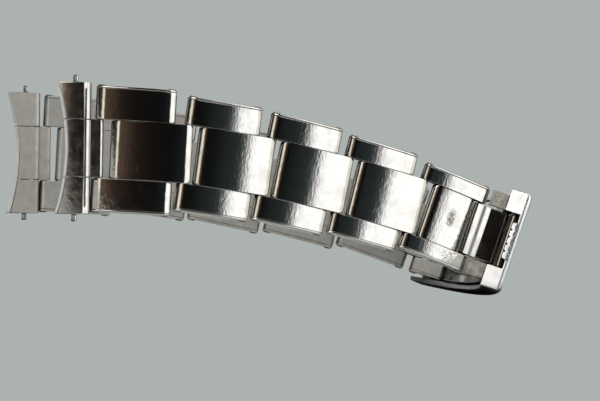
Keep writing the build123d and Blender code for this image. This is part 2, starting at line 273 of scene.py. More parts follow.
panel("diffuser", "diffuser_cloth", 24, 176, [
    (24, "#1E2324"), (28.5, "#2C3233"), (35, "#F8F9FA"), (57, "#FFFFFC"), (64, "#DAD8D2"),
    (86, "#D0CEC8"), (98, "#A09E98"), (108, "#1E1E1E"), (134, "#1C1C1C"), (146, "#9A9C9C"),
    (176, "#A4A6A6")])
panel("black_flag", "black_velvet", -2, 24, [
    (-2, "#1A1411"), (5, "#100D0B"), (13, "#0B0C0C"), (24, "#1E2324")])
panel("warm_card", "warm_card_paint", -176, -2, [
    (-176, "#A4A6A6"), (-150, "#9A9C9C"), (-138, "#2A2A2A"), (-60, "#1E1C1A"), (-37, "#3A3731"),
    (-30, "#CFC9BC"), (-20, "#D9D3C8"), (-16, "#857A69"), (-12, "#4A3C32"), (-2, "#1A1411")])
ceiling_hole, ceiling_radius, ceiling_black = 0.01, 1.35, "#1A1A1A"
ceiling = cloth("black_ceiling", -180, 180, (ceiling_hole, panel_height), (ceiling_radius, panel_height))
ceiling.data.materials.append(panel_light("ceiling_cloth", [(0.0, ceiling_black), (1.0, ceiling_black)]))
only_mirrored(ceiling)
print("3 panels with feet, and a ceiling")

# %% [markdown]
# The floor is pale and keeps the shadow. The picture is taken from just under the level of the
# bracelet's lower edge, so the floor is seen through from below and solid from above.

# %% Floor and lamps
floor_radius, floor_sides, speck_scale = 2.5, 64, 60.0


def blend(tree, factor, first, second):
    return add(tree, "ShaderNodeMix", {"Factor": factor, "A": first, "B": second},
               data_type="RGBA").outputs["Result"]


floor_mesh = bmesh.new()
bmesh.ops.create_circle(floor_mesh, cap_ends=True, radius=floor_radius, segments=floor_sides)
data = bpy.data.meshes.new("studio_floor")
floor_mesh.to_mesh(data)
floor = in_scene("studio_floor", data)
material, tree = new_material("matt_floor_paint")
speck = add(tree, "ShaderNodeTexNoise", {"Scale": speck_scale, "Detail": 4.0})
tint = blend(tree, speck.outputs[0], tone("#C9CCCA"), tone("#CFD1CF"))
paint = add(tree, "ShaderNodeBsdfPrincipled", {"Base Color": tint, "Roughness": 0.85})
clear = add(tree, "ShaderNodeBsdfTransparent")
rays = add(tree, "ShaderNodeLightPath")
side = add(tree, "ShaderNodeNewGeometry")
below = calc(tree, "MULTIPLY", side.outputs["Backfacing"], rays.outputs["Is Camera Ray"])
both = add(tree, "ShaderNodeMixShader", {0: below, 1: paint.outputs[0], 2: clear.outputs[0]})
add(tree, "ShaderNodeOutputMaterial", {"Surface": both.outputs[0]})
floor.data.materials.append(material)


def soft_lamp(name, place, size, watts):
    light = bpy.data.lights.new(name, "AREA")
    light.size, light.energy = size, watts
    lamp = in_scene(name, light)
    lamp.location = place
    lamp.rotation_mode = "QUATERNION"
    lamp.rotation_quaternion = Vector(place).to_track_quat("Z", "Y")
    return lamp


# The upper lamp isn't mirrored. The front one is too high to be mirrored by polish, but satin
# steel spreads it
upper_lamp = soft_lamp("upper_lamp", (0.35, -0.45, 1.1), 0.7, 4.0)
upper_lamp.visible_glossy = False
front_lamp = soft_lamp("front_lamp", (-0.38, -0.85, 0.6), 0.6, 3.5)
print("lamps of", upper_lamp.data.energy, "and", front_lamp.data.energy, "W")

# %% [markdown]
# ## The camera
#
# A long lens stands 40 cm away and a little below, so that the far half of the closed bracelet
# just shows under the near half. The focal length is in pixels of the 600 pixel wide picture.

# %% Camera
picture_width, focal_pixels = 600, 2620
camera_place = (-0.1187, -0.4067, -0.0116)
heading, tilt_up, lean_over = -16.94, 2.94, -9.29
lens = bpy.data.cameras.new("camera")
lens.sensor_width = 36.0
lens.lens = focal_pixels * lens.sensor_width / picture_width
lens.clip_start, lens.clip_end = 0.02, 20.0
camera = in_scene("camera", lens)
spin = (Matrix.Rotation(radians(heading), 4, "Z") @ Matrix.Rotation(radians(tilt_up), 4, "X")
        @ Matrix.Rotation(radians(lean_over), 4, "Y"))
look_along_y = Matrix.Rotation(radians(90), 4, "X")
camera.matrix_world = Matrix.Translation(camera_place) @ spin @ look_along_y
bpy.context.scene.camera = camera
bpy.context.scene.view_settings.view_transform = "Standard"
print("lens of", round(lens.lens, 1), "mm")

# %% [markdown]
# ## The steels
#
# The links are austenitic stainless steel, polished and then worn for years. A metal has no
# diffuse colour: its base colour is how much it mirrors, about 0.57 for this steel. Polish
# alone would look like chrome, so three kinds of wear are laid over it: hairlines along the
# link, stray scratches across it, and a low cloudy haze where skin and sleeves rub.


# %% Short names for nodes
def remap(tree, value, low, high, start=0.0, stop=1.0):
    # What runs from low to high then runs from start to stop, and no further
    return add(tree, "ShaderNodeMapRange", {"Value": value, "From Min": low, "From Max": high,
                                            "To Min": start, "To Max": stop}).outputs[0]


def noise(tree, place, detail, roughness=0.5, scale=1.0):
    return add(tree, "ShaderNodeTexNoise", {"Vector": place, "Scale": scale, "Detail": detail,
                                            "Roughness": roughness}).outputs[0]


def stretched(tree, place, scale):
    # Each number is how many blots of a noise fit in a metre along that axis
    return add(tree, "ShaderNodeMapping", {"Vector": place, "Scale": scale}).outputs[0]


print("a sum, a blend, a range, a noise and a stretch now have short names")

# %% [markdown]
# Each kind of wear, and the painted shade, is one small function, so that it can be read and tried alone.
# The painted shade isn't metal: it stays dark even where it is seen edge on, which keeps the gaps between links
# black.

# %% Kinds of wear and painted shade
raw_reach, pit_size = 4.55, 0.3


def scratch_marks(tree, place):
    # Stray scratches in two directions, about 2 mm long and 0.1 mm wide
    marks = []
    for angle, length, width in ((62, 420.0, 9000.0), (-38, 520.0, 11000.0)):
        tilted = add(tree, "ShaderNodeMapping", {"Vector": place, "Rotation": (0.0, radians(angle), 0.0)})
        streak = noise(tree, stretched(tree, tilted.outputs[0], (length, length, width)), 1.0)
        marks.append(remap(tree, streak, 0.77, 0.84))
    return calc(tree, "MAXIMUM", *marks)


def unshaded_share(tree, place, facing, gap_reach):
    # Painted shade: a dark colour in the gaps, found by ambient occlusion within gap_reach, and on the raw
    # sides of links and seams. Those look along the pin, z, and lie within raw_reach of the middle
    corner = add(tree, "ShaderNodeAmbientOcclusion", {"Distance": gap_reach * MM}, samples=8)
    open_air = remap(tree, corner.outputs["AO"], 0.45, 0.93)
    polished = remap(tree, calc(tree, "ABSOLUTE", facing.outputs["Z"]), 0.85, 0.95, 1.0, 0.0)
    off_middle = calc(tree, "ABSOLUTE", add(tree, "ShaderNodeSeparateXYZ", {0: place}).outputs["Z"])
    outside = calc(tree, "GREATER_THAN", off_middle, raw_reach * MM)
    return calc(tree, "MULTIPLY", open_air, calc(tree, "MAXIMUM", polished, outside))


def worn_patch(tree, place, rub):
    # One worn patch: where it is along x and z, and how far it reaches along each
    x, z, wide, tall = rub
    patch = add(tree, "ShaderNodeMapping", {"Vector": place, "Location": (-x / wide, 0.0, -z / tall),
                                            "Scale": (1 / wide / MM, 0.0, 1 / tall / MM)})
    away = add(tree, "ShaderNodeVectorMath", {0: patch.outputs[0]}, operation="LENGTH")
    inside = remap(tree, away.outputs["Value"], 1.0, 0.3)
    pits = remap(tree, noise(tree, place, 3.0, scale=1 / (pit_size * MM)), 0.36, 0.62)
    return inside, calc(tree, "MULTIPLY", pits, inside)


print("raw sides lie within", raw_reach, "mm of the middle")

# %% [markdown]
# The wear is then put together. Haze and scratches change the roughness, while dents, hairlines
# and scratches change the height that the bump node reads. The side towards the wrist is matt
# from sweat and skin.

# %% Worn polished steel with painted shade
wrist_matt, scratch_matt, scratch_depth = 0.4, 0.15, -0.0012
# The near-black colour and the matt roughness below are the painted shade in the gaps between links
patch_matt, pit_depth, gap_shade_matt = 0.16, -0.02, 0.9
gap_shade, pit_grey = tone("#0E0C0B"), tone("#6A6864")


def worn_steel(name, colour, dull, bright, haze_size=1.6, dents=0.011, hairline=0.0003, pale="#B9B7B2",
               gap_reach=0.5, rub=None):
    # Sizes and heights are in millimetres; dull and bright are the roughness of worn and unworn parts, and
    # gap_reach is how far the painted shade reaches into the gaps
    material, tree = new_material(name)
    place = add(tree, "ShaderNodeTexCoord").outputs["Object"]
    facing = add(tree, "ShaderNodeSeparateXYZ", {0: add(tree, "ShaderNodeTexCoord").outputs["Normal"]})
    # Haze from rubbing, in blots of haze_size
    worn = remap(tree, noise(tree, place, 6.0, 0.6, 1 / (haze_size * MM)), 0.38, 0.66)
    # Dents from years of knocks, 0.4 mm across and 0.9 mm along the pin
    knocks = noise(tree, stretched(tree, place, (2400.0, 2400.0, 1100.0)), 2.5, 0.55)
    # Hairlines of the polishing wheel, long along x and as thin as the picture can show
    lines = noise(tree, stretched(tree, place, (160.0, 4500.0, 4500.0)), 2.0)
    scratches = scratch_marks(tree, place)
    # Painted shade: the gaps and the raw sides of links take a near-black, non-metal colour
    unshaded = unshaded_share(tree, place, facing, gap_reach)
    steel = blend(tree, unshaded, gap_shade, blend(tree, worn, tone(colour), tone(pale)))
    rough = remap(tree, worn, 0.0, 1.0, bright, dull)
    rough = calc(tree, "MULTIPLY_ADD", scratches, scratch_matt, rough)
    # y points to the wrist in every link
    rough = calc(tree, "MULTIPLY_ADD", remap(tree, facing.outputs["Y"], 0.6, 0.9), wrist_matt, rough)
    height = calc(tree, "MULTIPLY", knocks, dents)
    height = calc(tree, "MULTIPLY_ADD", lines, hairline, height)
    height = calc(tree, "MULTIPLY_ADD", scratches, scratch_depth, height)
    if rub:
        inside, pitted = worn_patch(tree, place, rub)
        steel = blend(tree, pitted, steel, pit_grey)
        height = calc(tree, "MULTIPLY_ADD", pitted, pit_depth, height)
        rough = calc(tree, "MULTIPLY_ADD", inside, patch_matt, rough)
    bump = add(tree, "ShaderNodeBump", {"Height": height, "Strength": 1.0, "Distance": MM})
    # Where the shade is painted the steel stops being metal and turns matt
    metal = remap(tree, unshaded, 0.0, 0.5)
    rough = add(tree, "ShaderNodeMix", {"Factor": metal, "A": gap_shade_matt, "B": rough})
    shader = add(tree, "ShaderNodeBsdfPrincipled", {
        "Base Color": steel, "Metallic": metal, "Roughness": rough.outputs["Result"],
        "Normal": bump.outputs[0]})
    add(tree, "ShaderNodeOutputMaterial", {"Surface": shader.outputs[0]})
    return material


link_grey = "#CCCAC6"
outer_steel = worn_steel("polished_steel_outer_links", link_grey, 0.09, 0.045)
scratched_steel = worn_steel("polished_steel_scratched_link", link_grey, 0.09, 0.045,
                             rub=(2.9, 5.6, 0.09, 1.4))
centre_steel = worn_steel("polished_steel_centre_links", link_grey, 0.1, 0.045, haze_size=2.2)
rubbed_steel = worn_steel("polished_steel_rubbed_link", link_grey, 0.1, 0.045, haze_size=2.2,
                          rub=(6.1, 0.2, 0.9, 1.9))
rivet_steel = worn_steel("peened_steel_rivets", "#BDBAB4", 0.4, 0.2, haze_size=0.6)
cover_steel = worn_steel("satin_steel_cover", "#E3E6E9", 0.38, 0.28, dents=0.004, hairline=0.0008,
                         pale="#D8DBDE", gap_reach=2.5)
ear_steel = worn_steel("rubbed_steel_ears", "#706F6B", 0.5, 0.35, haze_size=0.9, dents=0.005, pale="#A3A19B")
blade_steel = worn_steel("stamped_steel_blades", "#C6C4BF", 0.16, 0.08, dents=0.004, hairline=0.0005)
end_steel = worn_steel("satin_steel_end_pieces", "#C8C5C0", 0.2, 0.1, gap_reach=1.5)
bar_steel = worn_steel("turned_steel_bars", "#C2C0BC", 0.24, 0.12, haze_size=0.8)
wire_steel = worn_steel("drawn_spring_wire", "#A9A7A2", 0.35, 0.25, haze_size=0.5)
print("11 steels made")

# %% [markdown]
# ## How the meshes are made
#
# A folded link is one outline, the same all along the pin, so it can be built from rings: the
# outline is repeated at several heights, and near an edge each ring is drawn in a little along
# its own normals. That gives an exactly rolled edge with no modifier, and clean rows of quads.

# %% Holes through a mesh
drill_reach, drill_sides = 20.0, 32


def drill(data, holes):
    # Cuts round holes along z through a mesh; holes is a list of (x, y, radius) in millimetres
    mesh = bmesh.new()
    for x, y, radius in holes:
        place = Matrix.Translation((x * MM, y * MM, 0.0))
        bmesh.ops.create_cone(mesh, cap_ends=True, segments=drill_sides, radius1=radius * MM,
                              radius2=radius * MM, depth=drill_reach * MM, matrix=place)
    tool_data = bpy.data.meshes.new("drill")
    mesh.to_mesh(tool_data)
    tool, work = in_scene("drill", tool_data), in_scene("work", data)
    cut = work.modifiers.new("holes", "BOOLEAN")
    cut.object, cut.operation, cut.solver = tool, "DIFFERENCE", "EXACT"
    graph = bpy.context.evaluated_depsgraph_get()
    drilled = bpy.data.meshes.new_from_object(work.evaluated_get(graph))
    for thing in (tool, work):
        bpy.data.objects.remove(thing)
    return drilled


print("holes are drilled with", drill_sides, "sides")

# %% [markdown]
# A piece joins its rings face by face. It is shaded smooth except at real edges, and it is tied to
# the moving body; the CAD node that it dresses is hidden.

# %% Rings to a piece
sharp_degrees = 32


def make_piece(name, parts, place, body, node, slot, material, holes=None):
    # parts is a list of ring lists in millimetres; each list becomes one closed shell
    mesh = bmesh.new()
    for rings in parts:
        rows = [[mesh.verts.new(Vector(point) * MM) for point in ring] for ring in rings]
        count = len(rows[0])
        for low, high in zip(rows, rows[1:]):
            for i in range(count):
                j = (i + 1) % count
                mesh.faces.new((low[i], low[j], high[j], high[i]))
        mesh.faces.new(rows[0][::-1])
        mesh.faces.new(rows[-1])
    bmesh.ops.recalc_face_normals(mesh, faces=mesh.faces)
    data = bpy.data.meshes.new(name)
    mesh.to_mesh(data)
    mesh.free()
    if holes:
        data = drill(data, holes)
    data.polygons.foreach_set("use_smooth", [True] * len(data.polygons))
    data.set_sharp_from_angle(angle=radians(sharp_degrees))
    data.materials.append(material)
    piece = in_scene(name, data)
    piece.matrix_world = place
    even = piece.modifiers.new("even_shading", "WEIGHTED_NORMAL")
    even.keep_sharp = True
    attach(piece, body)
    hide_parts(*([node] if isinstance(node, str) else node))
    return piece


print("edges over", sharp_degrees, "degrees stay sharp")

# %% [markdown]
# The places of the rings along the pin are called stations. A rolled edge packs them close
# together where the rounding turns fastest, so the highlight on it has no corners.

# %% Stations of an edge
edge_soft, edge_steps = 0.12, 4


def prism(outline, stations):
    # outline is a list of (x, y, nx, ny); stations a list of (z, how far the ring is drawn in all
    # round, how far its two ends are drawn in besides)
    return [[(x - nx * inset - nx * abs(nx) * pull, y - ny * inset, z) for x, y, nx, ny in outline]
            for z, inset, pull in stations]


def rolled(end, toward, radius, steps=6, corner=0.0):
    # Stations of an edge that ends at z = end, with its rounding and that of the face's corners
    sweep = [1 - sin(pi / 2 * i / steps) for i in range(steps + 1)]
    away = sorted({round(size * share, 5) for size in (radius, corner) for share in sweep}, reverse=True)

    def drawn_in(size, distance):
        return size - sqrt(max(0.0, size ** 2 - max(0.0, size - distance) ** 2))

    return [(end - toward * z, drawn_in(radius, z), drawn_in(corner, z)) for z in away]


def across(low, high, soft=edge_soft, corner=0.0):
    # Stations of a plate that spans low to high
    edge = rolled(high, 1, soft, edge_steps, corner)
    return [(low + high - z, inset, pull) for z, inset, pull in edge[::-1]] + edge


print("a plate has", len(across(-1.0, 1.0)), "stations")

# %% [markdown]
# The outline of a folded link is worked out from its radii. A tight curve at the tip eases over
# a wider shoulder into the crowned face, so that what the face mirrors changes without a step.

# %% Outline of a folded link
pin_setback, outer_length, face_radius, roll = 0.85, 12.4, 41.0, 0.85
curve_steps, tip_turn, seam_slope = 14, 30, 0.04


def folded_outline(start, end, radius, face_radius, seam=None, shoulder=2.6, tip=0.75):
    # A flat back and a crowned face, going round anticlockwise. Each end is rolled: round at the
    # tip and then easing over a wider shoulder into the face
    middle, half, turn = (start + end) / 2, (end - start) / 2, radians(tip_turn)
    lean = asin((half - tip + (tip - shoulder) * sin(turn)) / (face_radius - shoulder))
    shares = [i / curve_steps for i in range(curve_steps)]

    def face_side(side):
        # From the tip to the crown on one side; the angle is that of the normal from the face's
        points, x, y = [], half - tip, 0.0
        for share in shares:
            a = pi / 2 - (pi / 2 - turn) * share
            points.append((x + tip * sin(a), y - tip * cos(a), a))
        x, y = x + (tip - shoulder) * sin(turn), y - (tip - shoulder) * cos(turn)
        for share in shares:
            a = turn - (turn - lean) * share
            points.append((x + shoulder * sin(a), y - shoulder * cos(a), a))
        x, y = x + (shoulder - face_radius) * sin(lean), y - (shoulder - face_radius) * cos(lean)
        for share in shares:
            a = lean * (1 - share)
            points.append((x + face_radius * sin(a), y - face_radius * cos(a), a))
        return [(middle + side * px, py, side * sin(a), -cos(a)) for px, py, a in points]

    points = [(end - radius + radius * cos(a), radius * sin(a), cos(a), sin(a))
              for a in (pi / 2 * i / curve_steps for i in range(1, curve_steps + 1))]
    if seam:
        at, wide, deep = seam
        for x, y in ((at + wide / 2, 0), (at + wide / 2 - seam_slope, -deep),
                     (at - wide / 2 + seam_slope, -deep), (at - wide / 2, 0)):
            points.append((x, radius + y, 0.0, 1.0))
    points += [(start + radius + radius * cos(a), radius * sin(a), cos(a), sin(a))
               for a in (pi / 2 + pi / 2 * share for share in shares)]
    left, right = face_side(-1), face_side(1)
    crown = (middle, right[-1][1] - (face_radius * (1 - cos(lean / curve_steps))), 0.0, -1.0)
    return points + left + [crown] + right[::-1]


outline = folded_outline(-pin_setback, outer_length - pin_setback, roll, face_radius)
print(len(outline), "points round one outer link")

# %% [markdown]
# ## Outer links
#
# Each row has two outer links, one at each edge. The real one is a folded sheet with a cap
# pressed into its open side, and the joint shows as a fine line just inside the rounded rim.

# %% Outer links
row_widths = [19.2, 17.65, 16.95, 15.8, 14.25, 14.25]
inner_face, edge_break, face_corner, rim = 4.5, 0.03, 0.3, 0.3
cap_line, line_depth, line_half, line_edge, line_run = 0.42, 0.1, 0.03, 0.02, 0.03
last_row, last_link_length, bar_bore = 6, 6.2, 0.6
last_link_span = (hinge_at("far_link_6_hinge") - link_start).length / MM
every_row = [("near", number) for number in range(1, last_row)]
every_row += [("far", number) for number in range(1, last_row + 1)]


def row_body(half, number):
    return "far_link_6" if number == last_row else f"{half}_row_{number}"


def bar_hole(number):
    # The last link of the far half has a bore for the clasp's spring bar
    return [(last_link_span, 0.0, bar_bore)] if number == last_row else None


def outer_links(half, number):
    length = last_link_length if number == last_row else outer_length
    outline = folded_outline(-pin_setback, length - pin_setback, roll, face_radius)
    outside = row_widths[number - 1] / 2
    groove = outside - cap_line
    stations = rolled(inner_face, -1, edge_break, 3, corner=face_corner)[::-1]
    stations += [(groove - line_half - line_edge - line_run, 0.0, 0.0),
                 (groove - line_half - line_edge, line_edge, 0.0), (groove - line_half, line_depth, 0.0),
                 (groove + line_half, line_depth, 0.0), (groove + line_half + line_edge, line_edge, 0.0)]
    stations += rolled(outside, 1, rim, 8)
    parts = [prism(outline, [(up * z, inset, pull) for z, inset, pull in stations]) for up in (1, -1)]
    steel = scratched_steel if (half, number) == ("near", 5) else outer_steel
    return make_piece(f"{half}_outer_links_{number}", parts, row_frames[half, number], row_body(half, number),
                      f"{half}_outers_{number}", "outer_link_steel", steel, bar_hole(number))


for half, number in every_row:
    piece = outer_links(half, number)
print("last outer link has", len(piece.data.polygons), "faces")

# %% [markdown]
# ## Centre links
#
# The centre links bridge from one row to the next and are open at the sides. Their sheet meets
# on the inside of the bracelet in a narrow seam, which is drawn as a small groove.

# %% Centre links
# They are drawn 0.22 mm wider to each side than in CAD, so that the seams look closed
centre_half, centre_start, pitch, centre_reach, centre_corner = 4.42, 1.65, 13.35, 1.01, 0.45
short_centre_end, last_web, seam_width, seam_depth = 9.45, 4.5, 0.4, 0.25
pin_span = outer_length - 2 * pin_setback


def centre_link(half, number):
    end, web = pitch + centre_reach, pin_span
    if (half, number) == ("near", 5):
        end, web = short_centre_end, (centre_start + short_centre_end) / 2
    if number == last_row:
        end, web = last_link_length - pin_setback, last_web
    seam = ((centre_start + web) / 2, seam_width, seam_depth)
    outline = folded_outline(centre_start, end, roll, face_radius, seam=seam)
    stations = across(-centre_half, centre_half, edge_break, corner=centre_corner)
    steel = rubbed_steel if (half, number) == ("near", 5) else centre_steel
    return make_piece(f"{half}_centre_link_{number}", [prism(outline, stations)], row_frames[half, number],
                      row_body(half, number), f"{half}_centre_{number}", "centre_link_steel", steel,
                      bar_hole(number))


for half, number in every_row:
    piece = centre_link(half, number)
print("last centre link has", len(piece.data.polygons), "faces")

# %% [markdown]
# ## Rivets
#
# Solid pins run right through a row, and their ends are peened over into low domes on the
# outer edges. A profile turned about the pin gives both, so one ring list makes a whole pin.

# %% Pins with peened heads
head_radius, head_height, head_rise, head_sink, head_taper = 0.58, 0.2, 0.06, 0.02, 0.03
crown_ease, crown_flat, dome_steps, shoulder_step = 0.04, 0.05, 6, 0.001
pin_radius, pin_break, pin_taper, middle_pin_half = 0.35, 0.1, 0.02, 7.1


def turned(at, profile, steps=24):
    # profile is a list of (z, radius) along the pin
    sweep = [2 * pi * i / steps for i in range(steps)]
    return [[(at[0] + r * cos(a), at[1] + r * sin(a), z) for a in sweep] for z, r in profile]


def pin_profile(width):
    half = width / 2
    side = [(half - head_sink - shoulder_step, pin_radius), (half - head_sink, head_radius - head_taper),
            (half + head_rise, head_radius)]
    for i in range(1, dome_steps):
        a = pi / 2 * i / dome_steps
        side.append((half + head_rise + (head_height - head_rise) * sin(a),
                     head_radius * cos(a) + crown_ease * sin(a)))
    side.append((half + head_height, crown_flat))
    return [(-z, r) for z, r in side[::-1]] + side


def plain_pin_profile():
    # The middle pin of the last near row has no heads, only broken edges
    side = [(middle_pin_half - pin_break, pin_radius), (middle_pin_half, pin_radius - pin_taper)]
    return [(-z, r) for z, r in side[::-1]] + side


for half, number in every_row:
    spots = [0.0] if number == last_row else [0.0, pin_span]
    parts = [turned((spot, 0.0), pin_profile(row_widths[number - 1])) for spot in spots]
    if (half, number) == ("near", 5):
        parts.append(turned(((centre_start + short_centre_end) / 2, 0.0), plain_pin_profile()))
    make_piece(f"{half}_rivets_{number}", parts, row_frames[half, number], row_body(half, number),
               f"{half}_pins_{number}", "pin_steel", rivet_steel)
print("rivets on", len(every_row), "rows")

# %% [markdown]
# ## End pieces
#
# The end pieces are thick, curved to the watch case on one side, and carry a tube in the middle
# for the first row. The case side is a shallow arc, so each section across it starts elsewhere.

# %% End pieces
end_width, end_left, end_right, end_sagitta = 19.9, -2.8, 2.4, 1.5
end_thick, end_crown, end_soft, case_break = 1.3, 0.25, 1.1, 0.12
middle_half, rim_break, seam_break, ring_gap = 4.29, 0.12, 0.025, 0.04
row_offset, tube_reach, tube_root, tube_face_radius, tube_break = 3.62, 0.72, 1.0, 60.0, 0.06
corner_steps, crown_steps, height_steps = 6, 16, 14


def end_section(z, inset):
    # One section of an end piece, drawn in by inset at its edges
    half = end_width / 2
    arc_radius = (half ** 2 + end_sagitta ** 2) / (2 * end_sagitta)
    left = end_left + end_sagitta - (arc_radius - sqrt(arc_radius ** 2 - z ** 2)) + inset
    right, middle, thick = end_right - inset, (end_left + end_right) / 2, end_thick - inset
    points = []
    for centre_y, begin in ((end_soft - thick, -pi / 2), (thick - end_soft, 0.0)):
        for i in range(corner_steps + 1):
            a = begin + pi / 2 * i / corner_steps
            points.append((right - end_soft + end_soft * cos(a), centre_y + end_soft * sin(a), z))
    points += [(left + case_break, thick, z), (left, thick - case_break, z), (left, case_break - thick, z)]
    start = left + case_break
    for i in range(crown_steps):
        x = start + (right - end_soft - start) * i / crown_steps
        crown = end_crown * (1 - ((x - middle) / (end_right - middle)) ** 2)
        points.append((x, -thick - max(crown, 0.0), z))
    return points


def edge_rings(z, inward, soft):
    # From the edge inwards. The last ring keeps the face next to the edge from shading as if it
    # were bent
    rings = [end_section(z + inward * soft * (1 - cos(a)), soft * (1 - sin(a))) for a in (0, pi / 6, pi / 3)]
    return rings + [end_section(z + inward * reach, 0.0) for reach in (soft, soft + ring_gap)]


def end_piece(half):
    # Three blocks with fine seams between them, and the tube for the first row
    parts = []
    outer_half = end_width / 2
    blocks = [(-outer_half, rim_break, -centre_half, seam_break),
              (-middle_half, seam_break, middle_half, seam_break),
              (centre_half, seam_break, outer_half, rim_break)]
    for low, low_break, high, high_break in blocks:
        heights = [low + (high - low) * i / height_steps for i in range(1, height_steps)]
        parts.append(edge_rings(low, 1, low_break) + [end_section(z, 0.0) for z in heights]
                     + edge_rings(high, -1, high_break)[::-1])
    tube = folded_outline(end_right - tube_root, row_offset + tube_reach, tube_reach, tube_face_radius,
                          shoulder=tube_reach, tip=tube_reach)
    parts.append(prism(tube, across(-centre_half, centre_half, tube_break, corner=face_corner)))
    return make_piece(f"{half}_end_link", parts, end_frames[half], f"{half}_end", f"{half}_end_piece",
                      "end_piece_steel", end_steel)


for half in ("near", "far"):
    piece = end_piece(half)
print("end piece has", len(piece.data.polygons), "faces")

# %% [markdown]
# ## The clasp cover
#
# The cover is one bent sheet with walls on three sides. Its section is a U, and the only change
# along the arc is how far apart the inner walls stand: far apart along the cover, and close
# together in the end wall, where the gap between them is the notch.

# %% Section of the cover
cover_width, cover_depth, cover_sheet, cover_wall, cover_end_wall = 16.5, 3.4, 0.9, 0.8, 0.9
cover_soft, notch_width, low_break, low_nick, inner_break = 0.8, 9.2, 0.15, 0.04, 0.08
bend_steps, roof_steps = 8, 12
bend = [(cos(a), sin(a)) for a in (pi / 2 * i / bend_steps for i in range(bend_steps + 1))]


def u_section(angle, inner_half, drop, narrow):
    # Points are (width, radius, share of narrow, share of drop): drop lowers the outside near the
    # ends and narrow draws its sides in
    low, half, roof = cover_radius - cover_depth, cover_width / 2, cover_radius - cover_sheet
    outer = [(half - low_break, low, 0, 0), (half - low_nick, low + low_nick, 0.5, 0),
             (half, low + low_break, 1, 0)]
    outer += [(half - cover_soft * (1 - x), cover_radius - cover_soft * (1 - y), x, y) for x, y in bend]
    top = [((cover_width - 2 * cover_soft) * (i / roof_steps - 0.5), cover_radius, 0, 1)
           for i in range(1, roof_steps)]
    inner = [(inner_half + inner_break, low, 0, 0), (inner_half, low + inner_break, 0, 0),
             (inner_half, roof, 0, 0)]
    outer_left, inner_left = [[(-w, *rest) for w, *rest in points] for points in (outer, inner)]
    ring = []
    for w, r, nw, nr in outer_left + top + outer[::-1] + inner + inner_left[::-1]:
        outward = 1 if w > 0 else -1
        spot = clasp_point(r - drop * nr, angle)
        ring.append((spot.x, spot.y, w - outward * narrow * nw))
    return ring


print(len(u_section(0.0, notch_width / 2, 0.0, 0.0)), "points round the section")

# %% [markdown]
# Along the arc the sections are evenly spaced, and closer together at the rounded ends. Just
# behind the end wall the inner walls jump apart, between two sections that nearly touch.

# %% Rings of the cover
end_round, wall_step, after_wall, before_end, length_steps = 0.3, 0.02, 0.5, 0.3, 60


def cover_rings():
    half, side, notch = cover_half_angle, cover_width / 2 - cover_wall, notch_width / 2
    ends = []
    for x, y in bend:
        distance, drop = cover_soft * (1 - x), cover_soft * (1 - y)
        narrow = end_round * (1 - sqrt(max(0.0, 1 - max(0.0, 1 - distance / end_round) ** 2)))
        ends.append((arc_angle(distance), drop, narrow))
    rings = [u_section(step - half, notch, drop, narrow) for step, drop, narrow in ends]
    wall = arc_angle(cover_end_wall) - half
    rings += [u_section(wall, notch, 0, 0), u_section(wall + wall_step, side, 0, 0)]
    start, stop = wall + after_wall, half - arc_angle(cover_soft) - before_end
    for i in range(length_steps + 1):
        rings.append(u_section(start + (stop - start) * i / length_steps, side, 0, 0))
    return rings + [u_section(half - step, side, drop, narrow) for step, drop, narrow in ends[::-1]]


print(len(cover_rings()), "rings along the cover")

# %% [markdown]
# A plain ribbed tab at the notched end gives a thumb nail its hold. Its side view is a plate
# with round corners, repeated across its width and drawn in at each of the four grip grooves.

# %% Thumb tab
tab_half, tab_below, tab_out, tab_in, tab_thick, tab_soft = 3.0, 0.3, 0.7, 0.9, 1.3, 0.35
groove_places = (-1.8, -0.6, 0.6, 1.8)
groove_shape = ((0.28, 0.0), (0.2, 0.04), (0.08, 0.26))
tab_steps = 4


def tab_rings():
    outer_r, inner_r = cover_radius - tab_below - tab_soft, cover_radius - tab_below - tab_thick + tab_soft
    low, high = arc_angle(tab_soft - tab_out) - cover_half_angle, arc_angle(tab_in) - cover_half_angle
    corners = ((outer_r, high, 0), (outer_r, low, 90), (inner_r, low, 180), (inner_r, high, 270))
    stations = across(-tab_half, tab_half, tab_soft)
    for groove in groove_places:
        stations += [(groove + side * wide, depth, 0.0) for side in (-1, 1) for wide, depth in groove_shape]
    rings = []
    for z, inset, _ in sorted(stations):
        reach, ring = tab_soft - inset, []
        for centre_r, centre_a, begin in corners:
            for i in range(tab_steps + 1):
                a = radians(begin + 90 * i / tab_steps)
                spot = clasp_point(centre_r + reach * cos(a), centre_a - arc_angle(reach * sin(a)))
                ring.append((spot.x, spot.y, z))
        rings.append(ring)
    return rings


print(len(tab_rings()), "rings across the tab")

# %% [markdown]
# The cover's walls are drilled for its hinge pin, and three times for the spring bar, because
# moving the bar to another hole makes the bracelet a little longer or shorter.

# %% Clasp cover with its holes
adjust_radius, adjust_pitch, hole_radius, hinge_hole = 44.0, 2.2, 0.39, 0.54
bar_at = (clasp_frame.inverted() @ hinge_at("far_link_6_hinge")) / MM
bar_angle = degrees(atan2(bar_at.y, bar_at.x + cover_radius))
holes = [(*clasp_point(cover_hinge_radius, cover_hinge_angle), hinge_hole)]
for step in (-1, 0, 1):
    holes.append((*clasp_point(adjust_radius, bar_angle + arc_angle(adjust_pitch) * step), hole_radius))
on_cover = (clasp_frame, "cover", "clasp_cover", "clasp_steel")
cover = make_piece("clasp_shell", [cover_rings()], *on_cover, cover_steel, holes)
make_piece("clasp_thumb_tab", [tab_rings()], *on_cover, cover_steel)
print("cover has", len(cover.data.polygons), "faces")

# %% [markdown]
# ## The folding blades
#
# Under the cover two thin blades fold on each other. They are strips bent to the same curve,
# ending in rolled knuckles. A strip is drawn from the side as a closed outline and then given
# its width, with a small rounding on every edge.

# %% Strips and knuckles
nearly_nothing, strip_steps, disc_steps, bar_steps = 1e-9, 40, 32, 12


